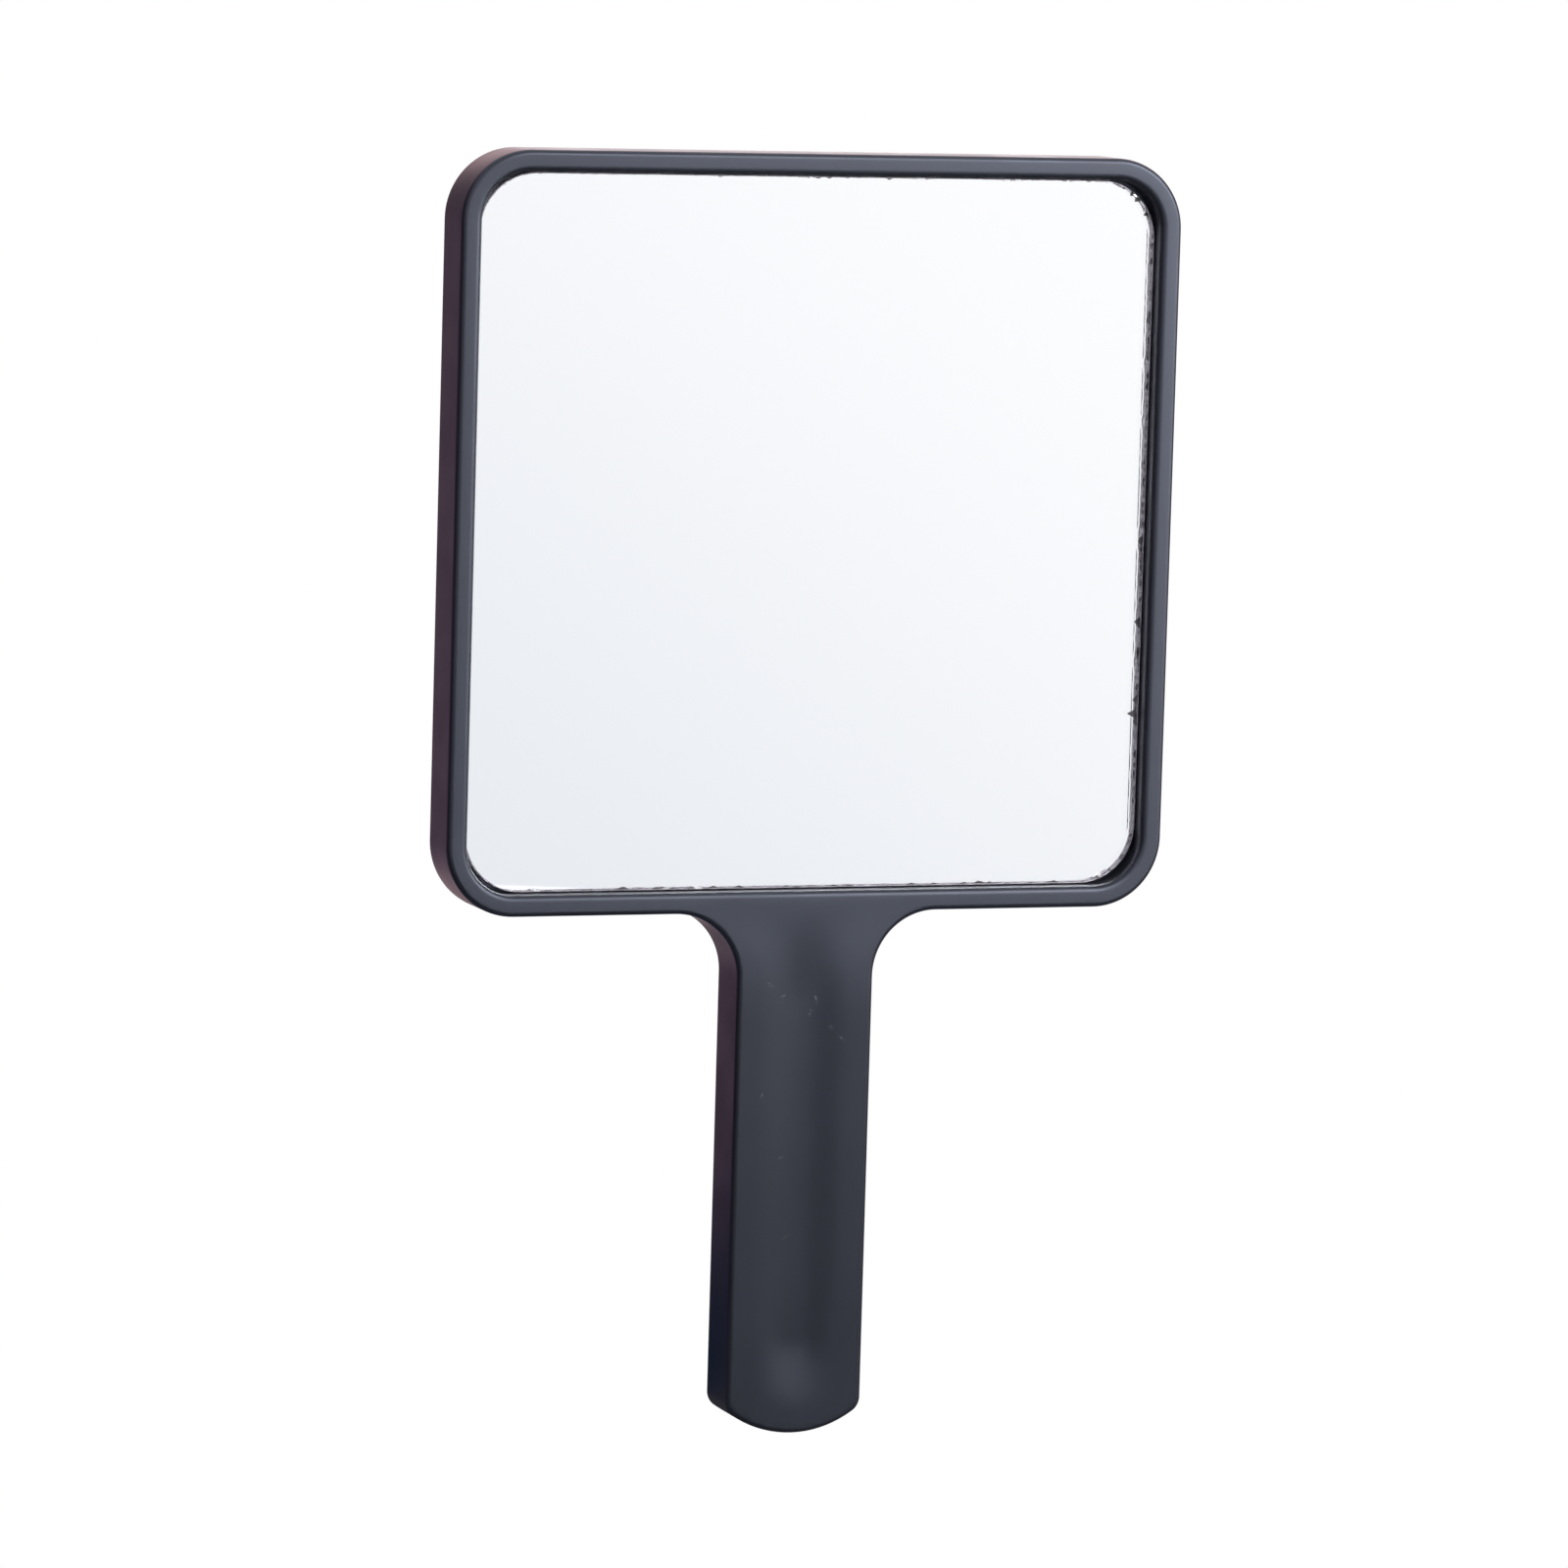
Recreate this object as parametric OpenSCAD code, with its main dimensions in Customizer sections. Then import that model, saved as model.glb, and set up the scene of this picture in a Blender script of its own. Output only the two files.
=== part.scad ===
/* [Head] */
// Width and height of the square head
head_size = 155; // [145:1:170]
// Radius of the head's outer corners
corner_r = 14.5; // [12:0.5:20]
// Thickness of the whole mirror, from front face to back face
body_t = 13.1; // [11.8:0.1:13.2]
// Width of the bezel bar around the glass
bezel_w = 4.4; // [4.2:0.1:6]
// Depth of the glass below the front face
recess = 3.6; // [3:0.1:3.8]

/* [Handle] */
// Length of the handle below the head
handle_len = 108.5; // [96:0.5:124]
// Width of the handle
handle_w = 29.4; // [28:0.2:34]
// Radius of the neck between head and handle
neck_r = 13.5; // [8:0.5:16]
// Radius of the curve across the handle's end
end_r = 23; // [20:1:32]
// Depth of the thumb scoop along the handle's front
scoop_depth = 1.3; // [0.8:0.1:1.6]
// Width of the thumb scoop
scoop_w = 20; // [16:0.5:21]

/* [Edges] */
// Radius of the outer edge of the front face
front_edge_r = 1.1; // [0.6:0.1:1.4]
// Radius of the edge around the glass recess
recess_edge_r = 1.4; // [0.6:0.1:1.4]
// Radius of the outer edge of the back face
back_edge_r = 0.8; // [0.3:0.1:1]

/* [Glass] */
// Thickness of the glass pane
glass_t = 2; // [1.8:0.1:2.2]
// Gap between the pane's edge and the recess wall
glass_gap = 0.25; // [0.15:0.05:0.4]
// How much larger the pane's corner radius is than the recess's
glass_corner_extra = 2.2; // [0:0.2:5]
// Modelled thickness of the silver layer
silver_t = 0.05; // [0.04:0.01:0.06]
// Modelled thickness of the protective paint
paint_t = 0.1; // [0.08:0.01:0.12]
// Thickness of the double-sided foam tape
tape_t = 0.8; // [0.7:0.05:0.9]
// Width of one strip of foam tape
tape_w = 14; // [10:1:18]
// Number of foam tape strips
tape_count = 4; // [2:1:5]

/* [Rear cover] */
// Thickness of the rear cover
cover_t = 2; // [1.8:0.1:2]
// Gap around the rear cover
cover_gap = 0.15; // [0.1:0.05:0.25]
// Number of stiffening ribs each way behind the head
cover_ribs = 3; // [1:1:5]

/* [Screws] */
// Height of the lower screw above the handle's end
screw_low = 22; // [18:1:30]
// Height of the upper screw above the handle's end
screw_high = 90; // [80:1:90]
// Diameter of the screw head
screw_head_d = 5.4; // [5:0.1:5.6]
// Outside diameter of the screw thread
screw_d = 2.9; // [2.6:0.1:3]

/* [Hidden] */
$fn = 96;

half_t = body_t / 2;
half_head = head_size / 2;
half_handle = handle_w / 2;
total_h = handle_len + head_size;
head_mid = handle_len + half_head;

// The outer rim runs around the whole outline, and the rear cover drops inside it.
rim_w = 2.2;
merge = 0.5;
opening = half_head - bezel_w;

// Levels through the thickness, measured from the middle plane, front upwards.
glass_top = half_t - recess;
glass_bottom = glass_top - glass_t;
silver_bottom = glass_bottom - silver_t;
paint_bottom = silver_bottom - paint_t;
tape_bottom = paint_bottom - tape_t;
floor_t = 1.6;
floor_bottom = tape_bottom - floor_t;
cover_top = -half_t + cover_t;

// The silver stops short of the pane's edge, and the paint seals over it.
silver_inset = 0.2;
paint_inset = 0.1;
tape_l = 2 * opening - 20;

// Handle shell: the front face is thick enough to hold the scoop.
face_t = 3.2;
face_bottom = half_t - face_t;
web_t = 1.2;
web_count = 4;
web_gap = 0.2;

// Scoop: a shallow cylinder lying along the handle, with a rounded shoulder at each end.
// Part of each shoulder stays above the face, so the cylinder is longer than the scoop.
scoop_low = 7;
scoop_high = handle_len - 3.5;
scoop_r = (pow(scoop_w / 2, 2) + pow(scoop_depth, 2)) / (2 * scoop_depth);
shoulder_r = 14;
shoulder_spare = shoulder_r - sqrt(pow(shoulder_r, 2) - pow(shoulder_r - scoop_depth, 2));

// Screws: they go in from the back, through the cover's bosses and into the frame's.
screw_heights = [screw_low, screw_high];
screw_head_h = 1.7;
screw_reach = 4.4;
slot_l = 3;
slot_w = 0.6;
slot_depth = 0.9;
seat_z = 3.3 - half_t;
seat_t = 1.1;
screw_hole_d = screw_d + 0.4;
pilot_d = screw_d + 0.1;
pilot_depth = 3.7;
boss_d = 7;
boss_bottom = seat_z + seat_t + 0.05;

// Plugs that close the screw holes.
plug_d = 6.4;
plug_t = 1.5;
plug_gap = 0.1;
plug_edge = 0.3;
cover_boss_d = plug_d + 2.6;

// Snap hooks that hold the cover to the head, and the grooves they catch in.
hook_l = 9;
hook_t = 1.2;
hook_nose = 0.5;
hook_gap = 0.1;
hook_offset = 40;
hook_top = floor_bottom - 0.2;
groove_bottom = cover_top + 0.7;

// Stiffening ribs on the inside of the cover.
rib_t = 1.2;
rib_gap = 0.15;
rib_l = 2 * opening - 18;

// Everything is drawn lying on its back, face up, and then stood upright.
module upright() {
    rotate([90, 0, 0]) children();
}

module both_sides() {
    children();
    mirror([1, 0, 0]) children();
}

// A section swept straight ahead, with the body on the left of the path.
module run(from, heading, length) {
    translate([from[0], from[1], 0]) rotate([0, 0, heading])
        rotate([90, 0, 90]) linear_extrude(length) children();
}

// A section swept around an outward corner.
module bend_out(centre, radius, from_angle, sweep) {
    translate([centre[0], centre[1], 0]) rotate([0, 0, from_angle])
        rotate_extrude(angle = sweep, $fn = 128)
            translate([radius, 0]) mirror([1, 0]) children();
}

// A section swept around an inward corner, such as the neck.
module bend_in(centre, radius, from_angle, sweep) {
    translate([centre[0], centre[1], 0]) rotate([0, 0, from_angle])
        rotate_extrude(angle = sweep, $fn = 128)
            translate([radius, 0]) children();
}

// A square corner at the origin, less the round of radius r inside it.
module corner_waste(r) {
    difference() {
        translate([-1, -1]) square(r + 1);
        translate([r, r]) circle(r);
    }
}

// Section through the body's edge, rounded at the front and at the back.
module rim_section(width) {
    difference() {
        translate([0, -half_t]) square([width, body_t]);
        translate([0, -half_t]) corner_waste(back_edge_r);
        translate([0, half_t]) mirror([0, 1]) corner_waste(front_edge_r);
    }
}

// Section of the bezel's inner part: from the cover's ledge up to the front face.
module lip_section() {
    difference() {
        translate([rim_w, cover_top]) square([bezel_w - rim_w, half_t - cover_top]);
        translate([bezel_w, half_t]) rotate(180) corner_waste(recess_edge_r);
    }
}

// Right half of the rim, from the start of the handle's straight side to the top of the head.
module rim_half() {
    head_x = half_head - corner_r;
    neck_x = half_handle + neck_r;
    neck_y = handle_len - neck_r;
    run([half_handle, end_r], 90, neck_y - end_r) rim_section(rim_w);
    bend_in([neck_x, neck_y], neck_r, 90, 90) rim_section(rim_w);
    run([neck_x, handle_len], 0, head_x - neck_x) rim_section(rim_w);
    bend_out([head_x, handle_len + corner_r], corner_r, -90, 90) rim_section(rim_w);
    run([half_head, handle_len + corner_r], 90, 2 * head_x) rim_section(rim_w);
    bend_out([head_x, total_h - corner_r], corner_r, 0, 90) rim_section(rim_w);
    run([head_x, total_h], 180, head_x) rim_section(rim_w);
}

// The handle's end: a straight bar trimmed by a round disc, and hollow behind its face.
module handle_end() {
    difference() {
        intersection() {
            both_sides() run([half_handle, 0], 90, end_r) rim_section(half_handle);
            bend_out([0, end_r], end_r, 180, 180) rim_section(end_r);
        }
        slab(-half_t - 1, face_bottom) handle_outline(rim_w);
    }
}

// The same thing on each of the head's four sides.
module each_side() {
    translate([0, head_mid, 0])
        for (turn = [0 : 90 : 270]) rotate([0, 0, turn]) children();
}

module bezel_lip() {
    side = half_head - corner_r;
    each_side() {
        run([half_head, -side], 90, 2 * side) lip_section();
        bend_out([side, side], corner_r, 0, 90) lip_section();
    }
}

// A flat slab between two levels.
module slab(bottom, top) {
    translate([0, 0, bottom]) linear_extrude(top - bottom) children();
}

// Outline of the head, drawn inwards from its edge.
module head_outline(inset) {
    half = half_head - inset;
    side = half_head - corner_r;
    translate([0, head_mid]) {
        square([2 * half, 2 * side], center = true);
        square([2 * side, 2 * half], center = true);
        for (x = [-side, side], y = [-side, side]) translate([x, y]) circle(corner_r - inset);
    }
}

// Outline of the glass pane, drawn inwards from its edge. Its corners are rounder than the recess's.
module pane_outline(inset) {
    half = opening - glass_gap - inset;
    round_r = corner_r - bezel_w - glass_gap + glass_corner_extra - inset;
    side = half - round_r;
    translate([0, head_mid]) {
        square([2 * half, 2 * side], center = true);
        square([2 * side, 2 * half], center = true);
        for (x = [-side, side], y = [-side, side]) translate([x, y]) circle(round_r);
    }
}

// Outline of the handle and its neck, drawn inwards from its edge.
module handle_outline(inset) {
    half = half_handle - inset;
    neck = neck_r + inset;
    shoulder = handle_len + inset;
    translate([-half, end_r]) square([2 * half, shoulder - end_r]);
    intersection() {
        translate([0, end_r]) circle(end_r - inset);
        translate([-half, 0]) square([2 * half, end_r + merge]);
    }
    both_sides() difference() {
        translate([half, shoulder - neck]) square(neck);
        translate([half + neck, shoulder - neck]) circle(neck);
    }
}

module scoop() {
    half = (scoop_high - scoop_low) / 2 + shoulder_spare;
    translate([0, (scoop_low + scoop_high) / 2, half_t - scoop_depth + scoop_r])
        rotate([90, 0, 0]) rotate_extrude($fn = 256) difference() {
            translate([0, -half]) square([scoop_r, 2 * half]);
            translate([scoop_r, half]) rotate(180) corner_waste(shoulder_r);
            translate([scoop_r, -half]) rotate(90) corner_waste(shoulder_r);
        }
}

// A row of cross webs inside the handle, evenly spaced between the two screws.
module handle_webs() {
    pitch = (screw_high - screw_low) / (web_count + 1);
    width = 2 * (half_handle - rim_w + merge);
    for (i = [1 : web_count])
        translate([-width / 2, screw_low + i * pitch - web_t / 2, cover_top + web_gap])
            cube([width, web_t, face_bottom + merge - cover_top - web_gap]);
}

// The grooves that the cover's hooks catch in.
module hook_grooves() {
    length = hook_l + 1;
    each_side() for (y = [-hook_offset, hook_offset])
        translate([opening - merge, y - length / 2, groove_bottom])
            cube([hook_nose + merge + 0.1, length, floor_bottom - groove_bottom]);
}

module frame() {
    color([0.11, 0.12, 0.14]) upright() difference() {
        union() {
            handle_end();
            both_sides() rim_half();
            bezel_lip();
            slab(floor_bottom, tape_bottom) head_outline(bezel_w - merge);
            slab(face_bottom, half_t) handle_outline(rim_w - merge);
            handle_webs();
            for (y = screw_heights) translate([0, y, boss_bottom])
                cylinder(d = boss_d, h = face_bottom + merge - boss_bottom);
        }
        scoop();
        hook_grooves();
        for (y = screw_heights) translate([0, y, boss_bottom - 1])
            cylinder(d = pilot_d, h = pilot_depth + 1);
    }
}

module mirror_glass() {
    color([0.86, 0.93, 0.92]) upright()
        slab(glass_bottom, glass_top) pane_outline(0);
}

module silver_layer() {
    color([0.82, 0.83, 0.85]) upright()
        slab(silver_bottom, glass_bottom) pane_outline(silver_inset);
}

module backing_paint() {
    color([0.36, 0.40, 0.42]) upright()
        slab(paint_bottom, silver_bottom) pane_outline(paint_inset);
}

module foam_tape() {
    pitch = (tape_l - tape_w) / (tape_count - 1);
    color([0.92, 0.92, 0.89]) upright() for (i = [0 : tape_count - 1])
        translate([i * pitch - tape_l / 2, head_mid - tape_l / 2, tape_bottom])
            cube([tape_w, tape_l, tape_t]);
}

// A hook stands on the cover beside the recess wall, with its nose pointing outwards.
module snap_hook() {
    face = opening - hook_gap;
    translate([0, hook_l / 2, 0]) rotate([90, 0, 0]) linear_extrude(hook_l) polygon([
        [face, cover_top - merge],
        [face, groove_bottom + 0.1],
        [face + hook_nose, groove_bottom + 0.1],
        [face + hook_nose, groove_bottom + 0.3],
        [face, hook_top],
        [face - hook_t, hook_top],
        [face - hook_t, cover_top - merge]
    ]);
}

module cover_rib_grid() {
    pitch = 2 * opening / (cover_ribs + 1);
    height = floor_bottom - rib_gap - cover_top;
    translate([0, head_mid, cover_top + height / 2 - merge / 2]) for (i = [1 : cover_ribs]) {
        across = i * pitch - opening;
        translate([across, 0, 0]) cube([rib_t, rib_l, height + merge], center = true);
        translate([0, across, 0]) cube([rib_l, rib_t, height + merge], center = true);
    }
}

module rear_cover() {
    color([0.13, 0.14, 0.16]) upright() difference() {
        union() {
            slab(-half_t, cover_top) {
                head_outline(rim_w + cover_gap);
                handle_outline(rim_w + cover_gap);
            }
            cover_rib_grid();
            each_side() for (y = [-hook_offset, hook_offset]) translate([0, y, 0]) snap_hook();
            for (y = screw_heights) translate([0, y, -half_t])
                cylinder(d = cover_boss_d, h = seat_z + seat_t + half_t);
        }
        for (y = screw_heights) translate([0, y, -half_t - 1]) {
            cylinder(d = plug_d + 2 * plug_gap, h = seat_z + half_t + 1);
            cylinder(d = screw_hole_d, h = body_t);
        }
    }
}

module cover_screws() {
    color([0.70, 0.71, 0.72]) upright() for (y = screw_heights) translate([0, y, seat_z])
        difference() {
            union() {
                translate([0, 0, -screw_head_h]) cylinder(d = screw_head_d, h = screw_head_h);
                cylinder(d = screw_d, h = screw_reach);
            }
            for (turn = [0, 90]) rotate(turn)
                translate([0, 0, -screw_head_h]) cube([slot_l, slot_w, 2 * slot_depth], center = true);
        }
}

module screw_plugs() {
    color([0.09, 0.09, 0.10]) upright() for (y = screw_heights) translate([0, y, -half_t]) {
        translate([0, 0, plug_edge]) cylinder(d = plug_d, h = plug_t - plug_edge);
        cylinder(d1 = plug_d - 2 * plug_edge, d2 = plug_d, h = plug_edge);
    }
}

frame();
mirror_glass();
silver_layer();
backing_paint();
foam_tape();
rear_cover();
cover_screws();
screw_plugs();
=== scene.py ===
"""Visual model of the hand mirror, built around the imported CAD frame.

All lengths are in metres. x runs to the right, y to the back and z up.
Sections through the thickness use a level h, measured forwards from the middle plane, so y = -h.
"""

import math

import bmesh
import bpy
import numpy as np
from mathutils import Matrix, Vector
from mathutils.geometry import delaunay_2d_cdt


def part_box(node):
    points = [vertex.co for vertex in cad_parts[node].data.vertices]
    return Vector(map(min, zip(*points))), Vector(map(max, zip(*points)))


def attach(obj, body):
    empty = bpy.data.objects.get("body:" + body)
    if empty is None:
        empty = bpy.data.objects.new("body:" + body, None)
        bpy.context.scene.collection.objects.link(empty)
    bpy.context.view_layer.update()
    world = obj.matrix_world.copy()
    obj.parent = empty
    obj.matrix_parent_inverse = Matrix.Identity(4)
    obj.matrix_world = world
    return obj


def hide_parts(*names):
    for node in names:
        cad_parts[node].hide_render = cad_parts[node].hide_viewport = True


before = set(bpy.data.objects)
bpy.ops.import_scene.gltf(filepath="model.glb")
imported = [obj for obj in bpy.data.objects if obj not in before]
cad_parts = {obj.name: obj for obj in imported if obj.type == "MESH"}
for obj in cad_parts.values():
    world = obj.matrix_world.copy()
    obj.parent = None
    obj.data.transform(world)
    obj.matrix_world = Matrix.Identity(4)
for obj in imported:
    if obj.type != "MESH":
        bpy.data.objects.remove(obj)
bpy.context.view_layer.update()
MM = 0.001
RNG = np.random.default_rng(7)

# ---- Sizes worked out from the CAD frame ----
GLASS_LOW, GLASS_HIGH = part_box("mirror_glass")
FRAME_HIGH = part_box("frame")[1]
COVER_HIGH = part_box("rear_cover")[1]
SILVER_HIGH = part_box("silver_layer")[1]
TAPE_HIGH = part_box("foam_tape")[1]
PLUG_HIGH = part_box("screw_plugs")[1]

HALF_T = FRAME_HIGH.y
HALF_HEAD = FRAME_HIGH.x
TOTAL_H = FRAME_HIGH.z
HEAD_MID = (GLASS_LOW.z + GLASS_HIGH.z) / 2
HANDLE_TOP = HEAD_MID - HALF_HEAD
GLASS_HALF = GLASS_HIGH.x
GLASS_FRONT = -GLASS_LOW.y
GLASS_BACK = -GLASS_HIGH.y
SILVER_BACK = -SILVER_HIGH.y
FLOOR_FRONT = -TAPE_HIGH.y
COVER_GAP = 0.15 * MM
COVER_INSET = HALF_HEAD - COVER_HIGH.x
RIM_W = COVER_INSET - COVER_GAP

# ---- Sizes that the boxes don't give ----
HALF_HANDLE = 14.7 * MM
CORNER_R = 14.5 * MM
NECK_R = 13.5 * MM
END_R = 23 * MM
END_CORNER_R = 3.6 * MM
GLASS_GAP = 0.25 * MM
BEZEL_W = HALF_HEAD - GLASS_HALF - GLASS_GAP
PANE_CORNER_R = CORNER_R - BEZEL_W - GLASS_GAP + 2.2 * MM
FRONT_EDGE_R = 1.1 * MM
RECESS_EDGE_R = 1.4 * MM
BACK_EDGE_R = 0.8 * MM
FLOOR_T = 1.6 * MM
FACE_T = 3.2 * MM
COVER_T = 2 * MM
SCREW_HEIGHTS = [22 * MM, 90 * MM]
ARC_STEP = math.radians(4)


# ---- Outlines: rows of (x, z, outward normal x, outward normal z) ----
def arc(cx, cz, r, start, end, inward=False):
    """Points along an arc, in degrees. An inward arc has the material outside it."""
    start, end = math.radians(start), math.radians(end)
    count = max(2, int(math.ceil(abs(end - start) / ARC_STEP)) + 1)
    side = -1 if inward else 1
    rows = []
    for a in np.linspace(start, end, count):
        c, s = math.cos(a), math.sin(a)
        rows.append((cx + r * c, cz + r * s, side * c, side * s))
    return rows


def mirrored(half):
    """A whole outline from its right half, which runs from the bottom to the top."""
    left = [(-x, z, -nx, nz) for x, z, nx, nz in reversed(half) if x > 1e-9]
    return np.array(half + left)


def body_outline():
    """The mirror's outline: handle end, handle, neck and head."""
    corner_x = HALF_HANDLE - END_CORNER_R
    corner_z = END_R - math.sqrt((END_R - END_CORNER_R) ** 2 - corner_x**2)
    turn = math.degrees(math.atan2(corner_z - END_R, corner_x))
    side = HALF_HEAD - CORNER_R
    neck_x = HALF_HANDLE + NECK_R
    half = arc(0, END_R, END_R, -90, turn)
    half += arc(corner_x, corner_z, END_CORNER_R, turn, 0)[1:]
    half += arc(neck_x, HANDLE_TOP - NECK_R, NECK_R, 180, 90, inward=True)
    half += arc(side, HANDLE_TOP + CORNER_R, CORNER_R, -90, 0)
    half += arc(side, TOTAL_H - CORNER_R, CORNER_R, 0, 90)
    half.append((0.0, TOTAL_H, 0.0, 1.0))
    return mirrored(half)


def square_outline(half_side, corner_r):
    """A rounded square about the middle of the head."""
    side = half_side - corner_r
    half = [(0.0, HEAD_MID - half_side, 0.0, -1.0)]
    half += arc(side, HEAD_MID - side, corner_r, -90, 0)
    half += arc(side, HEAD_MID + side, corner_r, 0, 90)
    half.append((0.0, HEAD_MID + half_side, 0.0, 1.0))
    return mirrored(half)


def ring(outline, inset, h):
    """An outline drawn inwards by inset, at level h, as rows of (x, z, h)."""
    points = outline[:, :2] - inset * outline[:, 2:]
    return np.column_stack([points, np.full(len(points), h)])


# ---- Mesh helpers ----
WELD = 1e-7
CIRCLE_POINTS = 48
SHARP_ANGLE = math.radians(30)


def to_world(point):
    """From (x, z, h) to Blender's (x, y, z)."""
    x, z, h = point
    return Vector((x, -h, z))


class Builder:
    """Collects faces given in (x, z, h), then welds them into one closed mesh."""

    def __init__(self):
        self.bm = bmesh.new()

    def add(self, points):
        """Adds a row of corners."""
        return [self.bm.verts.new(to_world(p)) for p in points]

    def face(self, verts):
        """Adds one face over corners already there."""
        return self.bm.faces.new(verts)

    def loft(self, rings, first_cap=True):
        """Skins a row of rings that all have the same number of points, and closes the last."""
        rows = [self.add(r) for r in rings]
        count = len(rows[0])
        for a, b in zip(rows, rows[1:]):
            for i in range(count):
                j = (i + 1) % count
                self.face((a[i], a[j], b[j], b[i]))
        if first_cap:
            self.face(rows[0])
        self.face(rows[-1])

    def finish(self, name):
        """Makes the object, with its faces turned outwards."""
        bmesh.ops.remove_doubles(self.bm, verts=self.bm.verts, dist=WELD)
        bmesh.ops.recalc_face_normals(self.bm, faces=self.bm.faces)
        mesh = bpy.data.meshes.new(name)
        self.bm.to_mesh(mesh)
        self.bm.free()
        obj = bpy.data.objects.new(name, mesh)
        bpy.context.scene.collection.objects.link(obj)
        return obj


def box_ring(x0, x1, z0, z1, h):
    """A rectangle at level h."""
    return [(x0, z0, h), (x1, z0, h), (x1, z1, h), (x0, z1, h)]


def circle_ring(cx, cz, r, h, count=CIRCLE_POINTS):
    """A circle at level h."""
    turns = [2 * math.pi * i / count for i in range(count)]
    return [(cx + r * math.cos(a), cz + r * math.sin(a), h) for a in turns]


def solid(name, rings):
    """A closed solid skinned over rings."""
    builder = Builder()
    builder.loft(rings)
    return builder.finish(name)


def block(name, x0, x1, z0, z1, low, high):
    """A rectangular bar between two levels."""
    return solid(name, [box_ring(x0, x1, z0, z1, low), box_ring(x0, x1, z0, z1, high)])


def turned(name, x, z, profile, count=CIRCLE_POINTS):
    """A solid of revolution about an axis through the thickness, from rows of (radius, h)."""
    return solid(name, [circle_ring(x, z, r, h, count) for r, h in profile])


def bake(obj):
    """Applies the object's modifiers to its mesh."""
    bpy.context.view_layer.update()
    graph = bpy.context.evaluated_depsgraph_get()
    baked = bpy.data.meshes.new_from_object(obj.evaluated_get(graph))
    obj.modifiers.clear()
    obj.data = baked


def combine(obj, tools, operation):
    """Cuts the tools from obj or joins them to it, and removes the tools."""
    for tool in tools:
        modifier = obj.modifiers.new(tool.name, "BOOLEAN")
        modifier.operation = operation
        modifier.solver = "MANIFOLD"
        modifier.object = tool
    bake(obj)
    for tool in tools:
        bpy.data.objects.remove(tool)


def shade(obj):
    """Smooth shading that keeps true edges sharp and flat faces flat."""
    mesh = obj.data
    mesh.shade_smooth()
    mesh.set_sharp_from_angle(angle=SHARP_ANGLE)
    weighted = obj.modifiers.new("even_normals", "WEIGHTED_NORMAL")
    weighted.keep_sharp = True
    weighted.weight = 90


def fillet(radius, steps):
    """Steps round a quarter turn: rows of (share along the first face, share along the second)."""
    turns = [math.pi / 2 * i / steps for i in range(steps + 1)]
    return [(radius * (1 - math.sin(a)), radius * (1 - math.cos(a))) for a in turns]


# ---- Thumb scoop ----
SCOOP_DEPTH = 1.3 * MM
SCOOP_RIM = 4.2 * MM
SCOOP_LOW_RIM = 4.5 * MM
SCOOP_LOW_FADE = 15 * MM
SCOOP_HIGH_FADE = 22 * MM
SCOOP_TOP = HANDLE_TOP + 2.5 * MM
GRID_STEP = 1 * MM
GRID_MARGIN = FRONT_EDGE_R + 0.7 * MM


def smooth(t):
    """0 below 0, 1 above 1, and an even S curve between."""
    t = min(1.0, max(0.0, t))
    return t * t * (3 - 2 * t)


def half_width_at(z):
    """Half the handle's width at height z, with the flare of the neck."""
    rise = min(max(0.0, z - (HANDLE_TOP - NECK_R)), NECK_R)
    return HALF_HANDLE + NECK_R - math.sqrt(NECK_R**2 - rise**2)


def end_distance(x, z):
    """Distance in from the curve across the handle's end."""
    if z > END_R:
        return z
    return END_R - math.hypot(x, z - END_R)


def scoop_drop(x, z):
    """How far the front face dips at a point of the handle."""
    across = abs(x) / (half_width_at(z) - SCOOP_RIM)
    if across >= 1:
        return 0.0
    low = smooth((end_distance(x, z) - SCOOP_LOW_RIM) / SCOOP_LOW_FADE)
    high = smooth((SCOOP_TOP - z) / SCOOP_HIGH_FADE)
    return SCOOP_DEPTH * math.cos(math.pi * across / 2) ** 2 * low * high


def on_scoop_grid(x, z, top):
    """Whether a grid point lies safely inside the handle's front face."""
    neck_low = HANDLE_TOP - NECK_R
    if end_distance(x, z) < GRID_MARGIN or z > top:
        return False
    if z <= neck_low:
        return abs(x) <= HALF_HANDLE - GRID_MARGIN
    from_neck = math.hypot(abs(x) - HALF_HANDLE - NECK_R, z - neck_low)
    return abs(x) < HALF_HANDLE + NECK_R / 2 and from_neck >= NECK_R + GRID_MARGIN


def inside(polygon, points):
    """For each point, whether it lies inside the polygon."""
    result = np.zeros(len(points), bool)
    x, z = points[:, 0], points[:, 1]
    for (x0, z0), (x1, z1) in zip(polygon, np.roll(polygon, -1, axis=0)):
        if z0 == z1:
            continue
        crosses = (z0 > z) != (z1 > z)
        result ^= crosses & (x < x0 + (z - z0) * (x1 - x0) / (z1 - z0))
    return result


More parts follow.
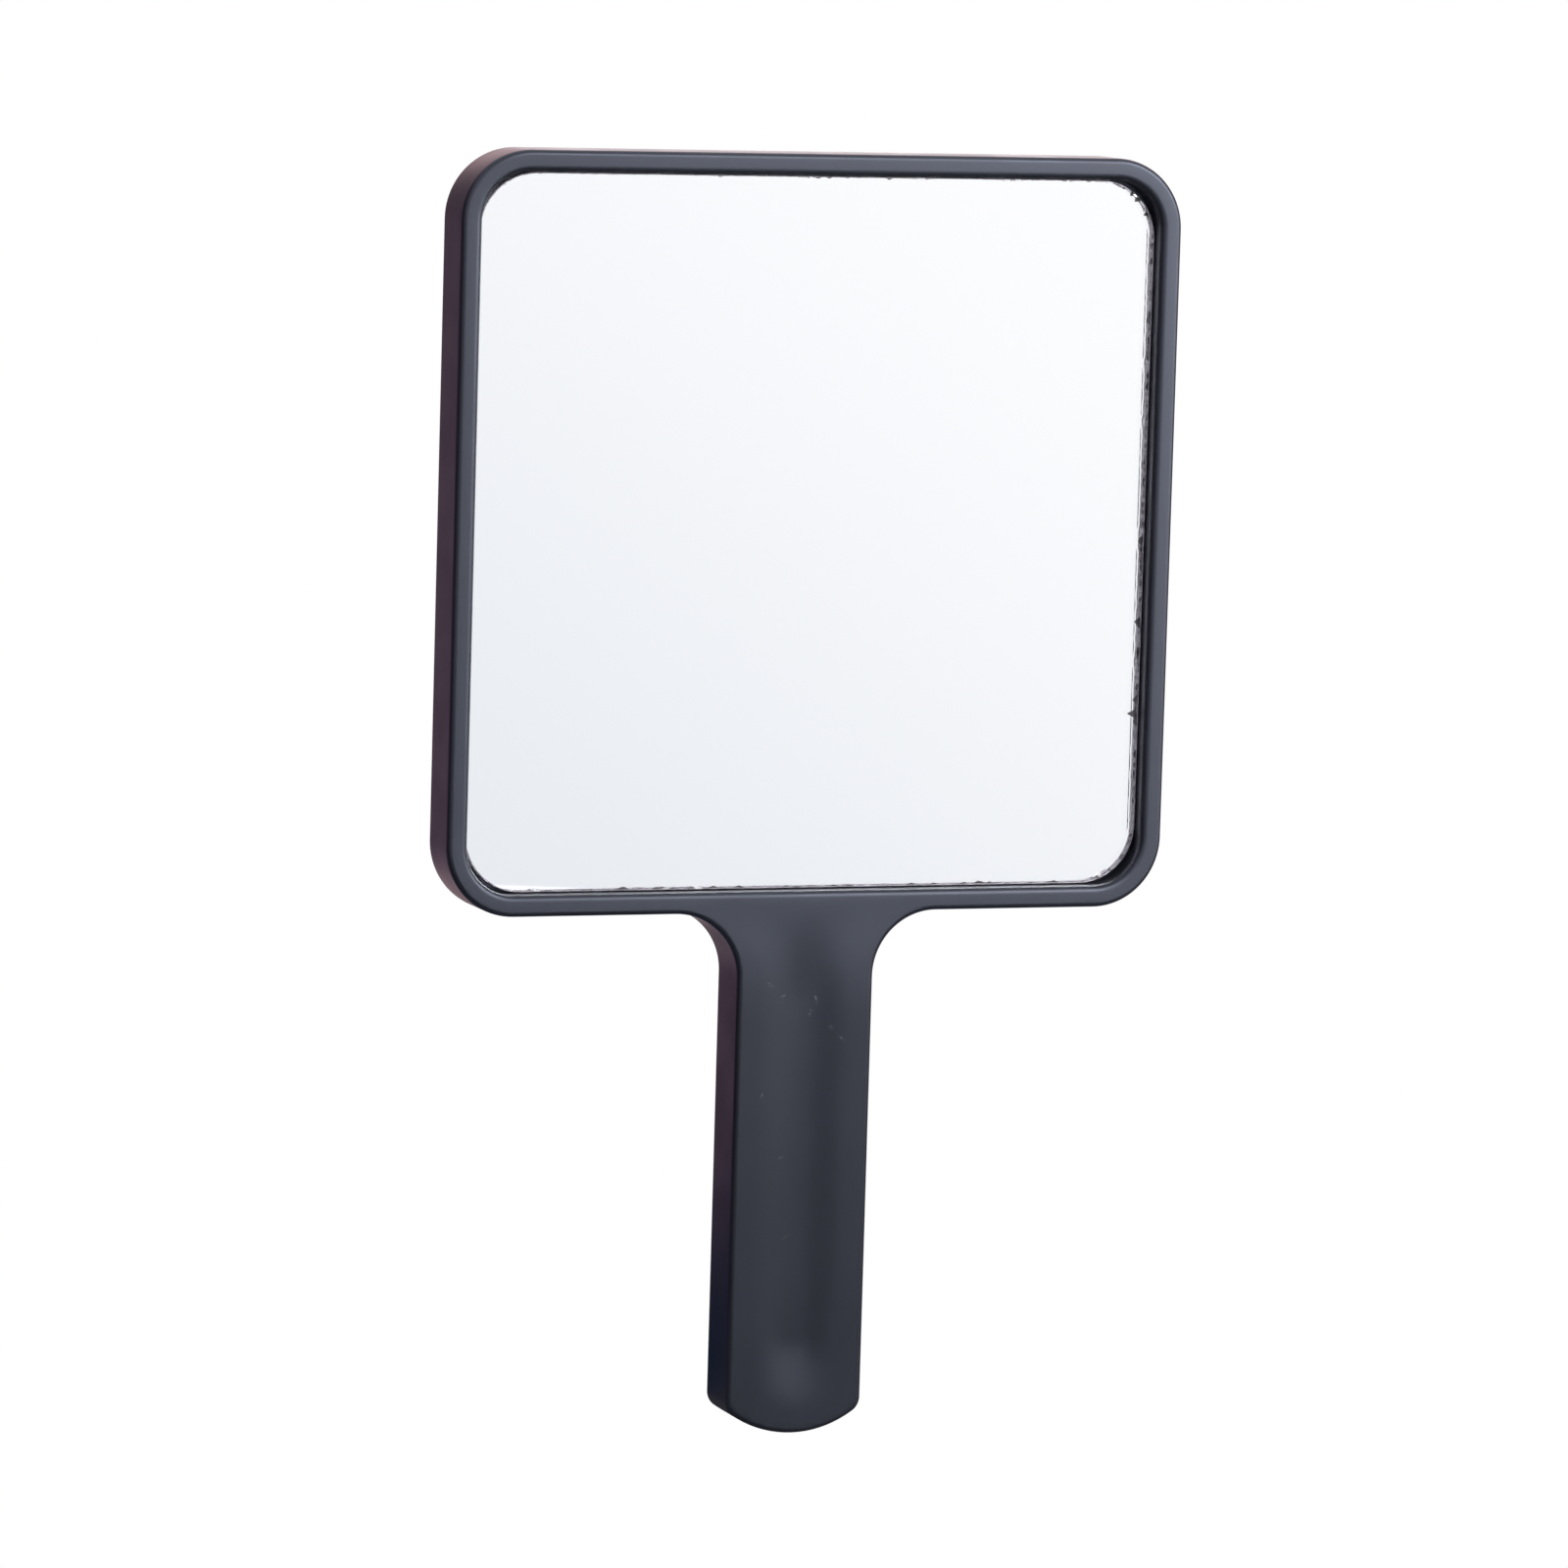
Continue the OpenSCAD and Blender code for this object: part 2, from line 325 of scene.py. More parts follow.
def front_face(builder, outer, inner):
    """The flat front between two rings, with a fine grid that carries the scoop."""
    top = inner[:, 1].min() - GRID_MARGIN + FRONT_EDGE_R
    columns = int(HALF_HANDLE * 2 / GRID_STEP)
    grid = []
    for i in range(-columns, columns + 1):
        for k in range(int(top / GRID_STEP) + 1):
            x, z = i * GRID_STEP, (k + 0.5 * (i % 2)) * GRID_STEP
            if on_scoop_grid(x, z, top):
                grid.append((x, z))
    loops = [outer[:, :2], inner[:, :2]]
    points = np.vstack(loops + [np.array(grid)])
    edges, start = [], 0
    for loop in loops:
        count = len(loop)
        edges += [(start + i, start + (i + 1) % count) for i in range(count)]
        start += count
    scaled = [Vector(p / MM) for p in points]
    verts, _, faces, _, _, _ = delaunay_2d_cdt(scaled, edges, [], 0, 1e-6)
    flat = np.array([(v.x * MM, v.y * MM) for v in verts])
    centres = np.array([flat[list(f)].mean(axis=0) for f in faces])
    wanted = inside(loops[0], centres) & ~inside(loops[1], centres)
    made = builder.add([(x, z, HALF_T - scoop_drop(x, z)) for x, z in flat])
    for face, keep in zip(faces, wanted):
        if keep:
            builder.face([made[i] for i in face])


# ---- Pieces ----
SEAT_H = 3.3 * MM - HALF_T
COVER_TOP = -HALF_T + COVER_T
FLOOR_BACK = FLOOR_FRONT - FLOOR_T
FACE_BACK = HALF_T - FACE_T
BOSS_START = SEAT_H + 1.15 * MM
OVERLAP = 0.4 * MM
OPENING = HALF_HEAD - BEZEL_W
MOUTH = 0.12 * MM
HOOK_OFFSET = 40 * MM
HOOK_LENGTH = 9 * MM
HOOK_T = 1.2 * MM
NOSE = 0.5 * MM
NOSE_LOW = COVER_TOP + 0.8 * MM
GROOVE_LENGTH = 10 * MM
GROOVE_DEPTH = 0.6 * MM
GROOVE_LOW = COVER_TOP + 0.7 * MM
RIB_HALF_T = 0.6 * MM
WEB_COUNT = 4
BOSS_R = 3.5 * MM
PILOT_R = 1.5 * MM
PILOT_DEPTH = 3.7 * MM
COVER_BOSS_R = 4.5 * MM
COVER_BOSS_TOP = SEAT_H + 1.1 * MM
SMALL_EDGE_R = 0.3 * MM
# The screw hole and its seat: radius and distance in from the back face, in millimetres.
SCREW_SEAT = [(3.5, -1), (3.5, 0), (3.3, 0.2), (3.3, 3.3), (1.65, 3.3), (1.65, 6)]


def on_side(turn, out, along):
    """A point beside one of the head's four sides, as (x, z)."""
    c, s = math.cos(turn), math.sin(turn)
    return out * c - along * s, HEAD_MID + out * s + along * c


def side_prism(name, turn, offset, length, profile):
    """A bar along one of the head's sides, from a section of (distance out, h)."""
    rings = []
    for along in (offset - length / 2, offset + length / 2):
        rings.append([(*on_side(turn, out, along), h) for out, h in profile])
    return solid(name, rings)


def hook_places():
    """Two hooks a side: each side's turn, and the distance along it."""
    return [(math.pi / 2 * i, y) for i in range(4) for y in (-HOOK_OFFSET, HOOK_OFFSET)]


def shell_blank(outline):
    """The frame's outside and the recess for the glass, before its back is hollowed."""
    builder = Builder()
    outer = [ring(outline, inset, HALF_T - drop) for inset, drop in fillet(FRONT_EDGE_R, 6)]
    for inset, drop in reversed(fillet(BACK_EDGE_R, 4)):
        outer.append(ring(outline, inset, drop - HALF_T))
    builder.loft(outer, first_cap=False)
    head = square_outline(HALF_HEAD, CORNER_R)
    inner = []
    for inset, drop in fillet(RECESS_EDGE_R, 6):
        inner.append(ring(head, BEZEL_W - inset, HALF_T - drop))
    inner.append(ring(head, BEZEL_W, FLOOR_FRONT))
    builder.loft(inner, first_cap=False)
    front_face(builder, outer[0], inner[0])
    return builder.finish("frame_shell")


def handle_cavity(outline):
    """The hollow behind the handle's face, up to where the neck meets the head."""
    x, z, _ = ring(outline, RIM_W, 0).T
    keep = (z < HANDLE_TOP + RIM_W + 0.01 * MM) & (abs(x) < HALF_HANDLE + NECK_R + 0.01 * MM)
    rings = [np.column_stack([x, z, np.full(len(x), h)])[keep] for h in (COVER_TOP - MM, FACE_BACK)]
    return solid("handle_cavity", rings)


def frame_shell():
    """The moulded frame: bezel, handle front with its scoop, and hollow back."""
    outline = body_outline()
    shell = shell_blank(outline)
    profile = [(RIM_W - MOUTH, -HALF_T - MM), (RIM_W - MOUTH, -HALF_T)]
    profile += [(RIM_W, -HALF_T + MOUTH), (RIM_W, COVER_TOP)]
    pocket = [ring(outline, inset, h) for inset, h in profile]
    head = square_outline(HALF_HEAD, CORNER_R)
    behind_glass = [ring(head, BEZEL_W, h) for h in (COVER_TOP - MM, FLOOR_BACK)]
    cuts = [solid("pocket", pocket), solid("behind_glass", behind_glass), handle_cavity(outline)]
    groove = [(OPENING - OVERLAP, GROOVE_LOW), (OPENING + GROOVE_DEPTH, GROOVE_LOW)]
    groove += [(OPENING + GROOVE_DEPTH, FLOOR_BACK), (OPENING - OVERLAP, FLOOR_BACK)]
    for turn, offset in hook_places():
        cuts.append(side_prism("groove", turn, offset, GROOVE_LENGTH, groove))
    combine(shell, cuts, "DIFFERENCE")
    adds = []
    low, high = SCREW_HEIGHTS
    half = HALF_HANDLE - RIM_W + OVERLAP
    levels = (COVER_TOP + 0.2 * MM, FACE_BACK + OVERLAP)
    for i in range(1, WEB_COUNT + 1):
        z = low + i * (high - low) / (WEB_COUNT + 1)
        adds.append(block("web", -half, half, z - RIB_HALF_T, z + RIB_HALF_T, *levels))
    profile = [(BOSS_R, BOSS_START), (BOSS_R, FACE_BACK + OVERLAP)]
    for z in SCREW_HEIGHTS:
        adds.append(turned("boss", 0, z, profile))
    combine(shell, adds, "UNION")
    profile = [(PILOT_R, BOSS_START - MM), (PILOT_R, BOSS_START + PILOT_DEPTH)]
    combine(shell, [turned("pilot", 0, z, profile) for z in SCREW_HEIGHTS], "DIFFERENCE")
    shade(shell)
    return shell


def cover_plate():
    """The back cover: a T-shaped plate with ribs, snap hooks and screw seats."""
    outline = body_outline()
    rings = []
    for inset, drop in fillet(SMALL_EDGE_R, 4):
        rings.append(ring(outline, COVER_INSET + inset, drop - HALF_T))
    rings.append(ring(outline, COVER_INSET, COVER_TOP))
    plate = solid("cover_plate", rings)
    adds = []
    half_rib = OPENING - 9 * MM
    levels = (COVER_TOP - OVERLAP, FLOOR_BACK - 0.15 * MM)
    for i in (-1, 0, 1):
        across = i * OPENING / 2
        low, high = across - RIB_HALF_T, across + RIB_HALF_T
        adds.append(block("rib", low, high, HEAD_MID - half_rib, HEAD_MID + half_rib, *levels))
        adds.append(block("rib", -half_rib, half_rib, HEAD_MID + low, HEAD_MID + high, *levels))
    face = OPENING - 0.1 * MM
    tip = FLOOR_BACK - 0.2 * MM
    hook = [(face, COVER_TOP - OVERLAP), (face, NOSE_LOW), (face + NOSE, NOSE_LOW)]
    hook += [(face + NOSE, COVER_TOP + MM), (face, tip)]
    hook += [(face - HOOK_T, tip), (face - HOOK_T, COVER_TOP - OVERLAP)]
    for turn, offset in hook_places():
        adds.append(side_prism("hook", turn, offset, HOOK_LENGTH, hook))
    profile = [(COVER_BOSS_R, COVER_TOP - OVERLAP), (COVER_BOSS_R, COVER_BOSS_TOP)]
    for z in SCREW_HEIGHTS:
        adds.append(turned("cover_boss", 0, z, profile))
    combine(plate, adds, "UNION")
    profile = [(r * MM, rise * MM - HALF_T) for r, rise in SCREW_SEAT]
    holes = [turned("screw_hole", 0, z, profile, 64) for z in SCREW_HEIGHTS]
    combine(plate, holes, "DIFFERENCE")
    shade(plate)
    return plate


def resampled(outline, step):
    """The same outline with points no further apart than step."""
    rows = []
    for a, b in zip(outline, np.roll(outline, -1, axis=0)):
        count = max(1, int(math.ceil(np.hypot(*(b - a)[:2]) / step)))
        for i in range(count):
            rows.append(a + (b - a) * i / count)
    rows = np.array(rows)
    rows[:, 2:] /= np.hypot(rows[:, 2], rows[:, 3])[:, None]
    return rows


def ragged(count, fine, chips, chip_size, chip_spread):
    """A ground edge's small unevenness, with a few larger chips, as insets along the edge."""
    rough = RNG.normal(0, 1, count)
    for _ in range(2):
        rough = (np.roll(rough, 1) + rough + np.roll(rough, -1)) / 3
    inset = fine * np.abs(rough) * 2
    for centre in RNG.integers(0, count, chips):
        size = chip_size * RNG.uniform(0.4, 1)
        gap = (np.arange(count) - centre + count // 2) % count - count // 2
        inset += size * np.exp(-((gap / chip_spread) ** 2))
    return inset


def uneven_ring(outline, insets, h):
    """Like ring, with a separate inset for each point."""
    points = outline[:, :2] - insets[:, None] * outline[:, 2:]
    return np.column_stack([points, np.full(len(points), h)])


GLASS_INTO_SILVER = 0.02 * MM
ARRIS_W = 0.16 * MM
ARRIS_WIDENING = 0.34 * MM


def glass_pane():
    """The float glass. Its front has a ground, slightly chipped arris, widest on the right."""
    outline = resampled(square_outline(GLASS_HALF, PANE_CORNER_R), 0.6 * MM)
    right_side = np.clip(outline[:, 2], 0, 1)
    chips = ragged(len(outline), 0.05 * MM, 26, 0.35 * MM, 1.5)
    arris = ARRIS_W + ARRIS_WIDENING * right_side + chips * (1 + right_side)
    rings = [
        uneven_ring(outline, arris, GLASS_FRONT),
        uneven_ring(outline, arris * 0.25, GLASS_FRONT - 0.14 * MM),
        ring(outline, 0, GLASS_FRONT - 0.3 * MM),
        ring(outline, 0, GLASS_BACK + 0.12 * MM),
        ring(outline, 0.1 * MM, GLASS_BACK - GLASS_INTO_SILVER),
    ]
    return solid("glass_pane", rings)


def silver_film():
    """The silvering. Its edge is an uneven line just short of the pane's, roughest on the right."""
    outline = resampled(square_outline(GLASS_HALF, PANE_CORNER_R), 0.4 * MM)
    right_side = np.clip(outline[:, 2], 0, 1)
    margin = GLASS_HALF - SILVER_HIGH.x - 0.12 * MM
    chips = ragged(len(outline), 0.07 * MM, 60, 0.45 * MM, 1.6)
    insets = np.maximum(margin - 0.22 * MM * right_side, 0.05 * MM)
    insets = insets + chips * (1 + 1.3 * right_side)
    rings = [uneven_ring(outline, insets, h) for h in (GLASS_BACK, SILVER_BACK)]
    return solid("silver_film", rings)


def hole_plugs():
    """The two plugs over the screws, each with a rounded edge and a small moulding dimple."""
    radius = PLUG_HIGH.x
    builder = Builder()
    profile = [(0.9 * MM, 0.1 * MM), (1.3 * MM, 0.06 * MM), (1.7 * MM, 0.0)]
    profile += [(radius - inset, drop) for inset, drop in fillet(SMALL_EDGE_R, 4)]
    profile.append((radius, 1.5 * MM))
    for z in SCREW_HEIGHTS:
        builder.loft([circle_ring(0, z, r, drop - HALF_T) for r, drop in profile])
    plugs = builder.finish("hole_plugs")
    shade(plugs)
    return plugs


# ---- Node helpers ----
def node(tree, kind, inputs=(), **settings):
    """Adds a node. inputs maps a socket's name or number to a value or to another node's output."""
    made = tree.nodes.new(kind)
    for key, value in settings.items():
        setattr(made, key, value)
    for key, value in dict(inputs).items():
        if isinstance(value, bpy.types.NodeSocket):
            tree.links.new(value, made.inputs[key])
        else:
            made.inputs[key].default_value = value
    return made


def calc(tree, operation, a, b=0.0):
    """One step of arithmetic on values or outputs."""
    return node(tree, "ShaderNodeMath", {0: a, 1: b}, operation=operation).outputs[0]


def fade(tree, value, start, end, low=0.0, high=1.0):
    """low before start, high after end, and a smooth change between."""
    inputs = {"Value": value, "From Min": start, "From Max": end, "To Min": low, "To Max": high}
    made = node(tree, "ShaderNodeMapRange", inputs, interpolation_type="SMOOTHSTEP")
    return made.outputs["Result"]


def tint(tree, share, low, high):
    """A colour between low and high."""
    made = tree.nodes.new("ShaderNodeMix")
    made.data_type = "RGBA"
    for index, value in ((0, share), (6, low), (7, high)):
        if isinstance(value, bpy.types.NodeSocket):
            tree.links.new(value, made.inputs[index])
        else:
            made.inputs[index].default_value = value if index == 0 else (*value, 1)
    return made.outputs[2]


def noise(tree, place, scale, detail=2.0, rough=0.5):
    """Cloudy noise between about 0.3 and 0.7. scale is in cells a metre."""
    inputs = {"Vector": place, "Scale": scale, "Detail": detail, "Roughness": rough}
    return node(tree, "ShaderNodeTexNoise", inputs).outputs["Fac"]


def new_material(name):
    """An empty node material with its output, and the object coordinates in metres."""
    material = bpy.data.materials.new(name)
    material.use_nodes = True
    tree = material.node_tree
    tree.nodes.clear()
    out = tree.nodes.new("ShaderNodeOutputMaterial")
    place = tree.nodes.new("ShaderNodeTexCoord").outputs["Object"]
    return material, tree, out, place


def bump(tree, height, distance, strength=1.0, normal=None):
    """Fine relief from a height, on top of an earlier normal if one is given."""
    inputs = {"Height": height, "Distance": distance, "Strength": strength}
    if normal:
        inputs["Normal"] = normal
    return node(tree, "ShaderNodeBump", inputs).outputs["Normal"]


def wear_on(obj, *materials):
    """Gives the object these materials, in slot order."""
    obj.data.materials.clear()
    for material in materials:
        obj.data.materials.append(material)


# ---- Materials ----
PLASTIC_IOR = 1.56
GLASS_IOR = 1.52
# Faint handling marks on the handle's front:
# x, z, half length and half width in millimetres, and turn in degrees.
SCUFFS = [
    (-7.6, 93.6, 0.8, 0.30, 150),
    (-4.6, 91.2, 0.5, 0.25, 20),
    (2.6, 90.6, 0.9, 0.22, 100),
    (1.6, 87.6, 0.6, 0.30, 60),
    (6.0, 84.6, 0.35, 0.35, 0),
    (8.0, 82.4, 0.8, 0.20, 140),
    (-8.8, 70.8, 0.5, 0.20, 80),
    (-4.2, 57.6, 0.6, 0.18, 10),
    (-2.5, 41.0, 0.7, 0.15, 30),
]


def scuff_mask(tree, place):
    """Soft small marks at the places in SCUFFS, broken up by noise, on the front only."""
    x, y, z = node(tree, "ShaderNodeSeparateXYZ", {0: place}).outputs
    total = 0.0
    for cx, cz, length, width, degrees in SCUFFS:
        c, s = math.cos(math.radians(degrees)), math.sin(math.radians(degrees))
        dx = calc(tree, "SUBTRACT", x, cx * MM)
        dz = calc(tree, "SUBTRACT", z, cz * MM)
        along = calc(tree, "ADD", calc(tree, "MULTIPLY", dx, c), calc(tree, "MULTIPLY", dz, s))
        across = calc(tree, "SUBTRACT", calc(tree, "MULTIPLY", dz, c), calc(tree, "MULTIPLY", dx, s))
        a = calc(tree, "POWER", calc(tree, "ABSOLUTE", calc(tree, "DIVIDE", along, length * MM)), 2)
        b = calc(tree, "POWER", calc(tree, "ABSOLUTE", calc(tree, "DIVIDE", across, width * MM)), 2)
        mark = calc(tree, "EXPONENT", calc(tree, "MULTIPLY", calc(tree, "ADD", a, b), -1))
        total = calc(tree, "ADD", total, mark)
    broken = fade(tree, noise(tree, place, 2500, 3), 0.42, 0.62)
    front = fade(tree, y, -0.002, -0.004)
    return calc(tree, "MULTIPLY", calc(tree, "MULTIPLY", total, broken), front)


def satin_plastic(name, dark, light, rough, grain, grain_depth, scuffs=False):
    """Moulded plastic: fine texture, colour drift, uneven sheen, a little dust, and painted shade
    that weakens its reflection down the handle.
    """
    material, tree, out, place = new_material(name)
    drift = fade(tree, noise(tree, place, 28, 3), 0.35, 0.65)
    colour = tint(tree, drift, dark, light)
    speck = fade(tree, noise(tree, place, 5200, 1), 0.70, 0.78, 0, 0.5)
    colour = tint(tree, speck, colour, tuple(c * 4 for c in light))
    sheen = fade(tree, noise(tree, place, 70, 4), 0.3, 0.7, rough - 0.035, rough + 0.035)
    fine = noise(tree, place, grain, 3, 0.6)
    flow = noise(tree, place, 160, 2)
    normal = bump(tree, flow, 0.01 * MM, 0.5)
    normal = bump(tree, fine, grain_depth, 1.0, normal)
    if scuffs:
        marks = scuff_mask(tree, place)
        colour = tint(tree, calc(tree, "MULTIPLY", marks, 0.30), colour, (0.30, 0.31, 0.33))
    # Painted shade: the reflection is at full strength just under the head and falls to 64% lower
    # down the handle.
    height = node(tree, "ShaderNodeSeparateXYZ", {0: place}).outputs["Z"]
    shade_below_head = fade(tree, height, HANDLE_TOP - 24 * MM, HANDLE_TOP - 3 * MM, 0.64, 1.0)
    inputs = {
        "Base Color": colour,
        "Roughness": sheen,
        "IOR": PLASTIC_IOR,
        "Specular IOR Level": shade_below_head,
        # Painted light: the bluish specular tint colours every reflection on the plastic blue.
        "Specular Tint": (0.735, 0.797, 0.99, 1),
        "Normal": normal,
    }
    shader = node(tree, "ShaderNodeBsdfPrincipled", inputs)
    tree.links.new(shader.outputs[0], out.inputs["Surface"])
    return material


def clear_glass():
    """Float glass with a faint green tint. Its polished faces carry a trace of dust."""
    material, tree, out, place = new_material("clear_glass")
    dust = fade(tree, noise(tree, place, 900, 4), 0.62, 0.80, 0.0, 0.012)
    inputs = {"Color": (0.997, 1.0, 0.998, 1), "Roughness": 0.0, "IOR": GLASS_IOR}
    pane = node(tree, "ShaderNodeBsdfGlass", inputs)
    grey = node(tree, "ShaderNodeBsdfDiffuse", {"Color": (0.8, 0.8, 0.8, 1)})
    mixed = node(tree, "ShaderNodeMixShader", {0: dust, 1: pane.outputs[0], 2: grey.outputs[0]})
    tree.links.new(mixed.outputs[0], out.inputs["Surface"])
    return material


def ground_glass():
    """The ground edge: frosted and uneven, with darker patches, and painted shade that makes it
    darkest about the middle height.
    """
    material, tree, out, place = new_material("ground_glass")
    patches = fade(tree, noise(tree, place, 520, 3, 0.6), 0.38, 0.54)
    grains = fade(tree, noise(tree, place, 3200, 2), 0.35, 0.65)
    z = node(tree, "ShaderNodeSeparateXYZ", {0: place}).outputs["Z"]
    # Painted shade: the edge is darker within about 20 mm of the middle height and lighter beyond 50
    # mm.
    away = fade(tree, calc(tree, "ABSOLUTE", calc(tree, "SUBTRACT", z, HEAD_MID)), 20 * MM, 50 * MM)
    shaded_edge_tone = tint(tree, away, (0.45, 0.40, 0.46), (0.70, 0.64, 0.71))
    colour = tint(tree, patches, shaded_edge_tone, (0.98, 0.94, 1.0))
    normal = bump(tree, grains, 0.03 * MM, 0.6)
    inputs = {"Color": colour, "Roughness": 0.45, "IOR": GLASS_IOR, "Normal": normal}
    frosted = node(tree, "ShaderNodeBsdfGlass", inputs)
    powder = node(tree, "ShaderNodeBsdfDiffuse", {"Color": colour, "Normal": normal})
    share = fade(tree, grains, 0, 1, 0.72, 0.96)
    mixed = node(tree, "ShaderNodeMixShader", {0: share, 1: frosted.outputs[0], 2: powder.outputs[0]})
    tree.links.new(mixed.outputs[0], out.inputs["Surface"])
    return material


def silvering():
    """Bright silver, very slightly wavy, with pin-prick flaws."""
    material, tree, out, place = new_material("silvering")
    flaw = fade(tree, noise(tree, place, 2600, 2), 0.80, 0.84)
    colour = tint(tree, flaw, (0.955, 0.965, 0.972), (0.25, 0.24, 0.27))
    rough = fade(tree, noise(tree, place, 40, 2), 0.3, 0.7, 0.0, 0.006)
    inputs = {"Base Color": colour, "Metallic": 1.0, "Roughness": rough}
    shader = node(tree, "ShaderNodeBsdfPrincipled", inputs)
    tree.links.new(shader.outputs[0], out.inputs["Surface"])
    return material


def paint_film():
    """The dull protective paint behind the silver."""
    material, tree, out, place = new_material("paint_film")
    cloud = fade(tree, noise(tree, place, 300, 4), 0.3, 0.7)
    colour = tint(tree, cloud, (0.030, 0.026, 0.032), (0.060, 0.052, 0.060))
    normal = bump(tree, noise(tree, place, 1500, 3), 0.02 * MM, 0.5)
    inputs = {"Base Color": colour, "Roughness": 0.6, "Normal": normal}
    shader = node(tree, "ShaderNodeBsdfPrincipled", inputs)
    tree.links.new(shader.outputs[0], out.inputs["Surface"])
    return material


def closed_foam():
    """White closed-cell foam."""
    material, tree, out, place = new_material("closed_foam")
    cells = node(tree, "ShaderNodeTexVoronoi", {"Vector": place, "Scale": 2600.0}).outputs["Distance"]
    colour = tint(tree, cells, (0.80, 0.80, 0.76), (0.90, 0.90, 0.87))
    normal = bump(tree, cells, 0.05 * MM, 0.6)
    inputs = {"Base Color": colour, "Roughness": 0.85, "Normal": normal}
    shader = node(tree, "ShaderNodeBsdfPrincipled", inputs)
    tree.links.new(shader.outputs[0], out.inputs["Surface"])
    return material


def zinc_steel():
    """Zinc-plated screw steel with a mottled sheen."""
    material, tree, out, place = new_material("zinc_steel")
    mottle = fade(tree, noise(tree, place, 900, 4), 0.3, 0.7)
    colour = tint(tree, mottle, (0.50, 0.51, 0.53), (0.66, 0.67, 0.69))
    rough = fade(tree, mottle, 0, 1, 0.26, 0.42)
    normal = bump(tree, noise(tree, place, 4000, 2), 0.01 * MM, 0.5)
    inputs = {"Base Color": colour, "Metallic": 1.0, "Roughness": rough, "Normal": normal}
    shader = node(tree, "ShaderNodeBsdfPrincipled", inputs)
    tree.links.new(shader.outputs[0], out.inputs["Surface"])
    return material


def by_facing(obj, limit=0.9):
    """Puts faces that look forwards or backwards in slot 0, and the edge faces in slot 1."""
    for face in obj.data.polygons:
        face.material_index = 0 if abs(face.normal.y) > limit else 1


# ---- Build ----
def build_mirror():
    """Makes the pieces, gives them their materials, hangs each under the root body and hides the CAD
    part that it stands for.
    """
    shell = frame_shell()
    cover = cover_plate()
    pane = glass_pane()
    film = silver_film()
    plugs = hole_plugs()
    dark, light = (0.0075, 0.0085, 0.0105), (0.011, 0.012, 0.015)
    wear_on(shell, satin_plastic("frame_abs", dark, light, 0.44, 3400, 0.006 * MM, scuffs=True))
    dark, light = (0.010, 0.011, 0.013), (0.014, 0.015, 0.018)
    wear_on(cover, satin_plastic("cover_abs", dark, light, 0.52, 1500, 0.02 * MM))
    dark, light = (0.012, 0.012, 0.013), (0.017, 0.017, 0.018)
    wear_on(plugs, satin_plastic("plug_pe", dark, light, 0.38, 4200, 0.004 * MM))
    wear_on(pane, clear_glass(), ground_glass())
    by_facing(pane)
    wear_on(film, silvering())
    wear_on(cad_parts["backing_paint"], paint_film())
    wear_on(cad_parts["foam_tape"], closed_foam())
    wear_on(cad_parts["cover_screws"], zinc_steel())
    stands_for = [
        (shell, "frame", "frame_plastic"),
        (cover, "rear_cover", "cover_plastic"),
        (pane, "mirror_glass", "float_glass"),
        (film, "silver_layer", "silver"),
        (plugs, "screw_plugs", "plug_plastic"),
    ]
    for piece, cad_node, slot in stands_for:
        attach(piece, "root")
        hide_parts(cad_node)


build_mirror()


# ---- Camera ----
YAW = math.radians(19.53)
PITCH = math.radians(6.67)
ROLL = math.radians(1.66)
LENS = 184.8
CAMERA_DISTANCE = 1.644
AIM = Vector((-5.85 * MM, -6 * MM, HEAD_MID - 51.0 * MM))


def place_camera():
    """The camera stands to the left of the mirror and a little above its middle."""
    level = math.cos(PITCH)
    back = Vector((-math.sin(YAW) * level, -math.cos(YAW) * level, math.sin(PITCH)))
    right = (-back).cross(Vector((0, 0, 1))).normalized()
    up = right.cross(-back)
    c, s = math.cos(ROLL), math.sin(ROLL)
    right, up = c * right + s * up, c * up - s * right
    data = bpy.data.cameras.new("camera")
    data.lens = LENS
    data.sensor_width = 36
    data.clip_start = 0.05
    data.clip_end = 50
    camera = bpy.data.objects.new("camera", data)
    turn = Matrix((right, up, back)).transposed().to_4x4()
    camera.matrix_world = Matrix.Translation(AIM + back * CAMERA_DISTANCE) @ turn
    bpy.context.scene.collection.objects.link(camera)
    bpy.context.scene.camera = camera
    return camera


CAMERA = place_camera()


# ---- Studio ----
CARD_DISTANCE = 0.60
CARD_HALF_WIDTH = 0.42
CARD_HALF_HEIGHT = 0.38
CARD_SHIFT = 0.20
FLOOR_HALF = 0.42


def mirror_sight():
    """Where the camera looks by way of the mirror: the sight line's start and its direction."""
    silver_y = -GLASS_BACK
    image = CAMERA.matrix_world.translation.copy()
    image.y = 2 * silver_y - image.y
    start = Vector((0, silver_y, HEAD_MID))
    return start, (start - image).normalized()


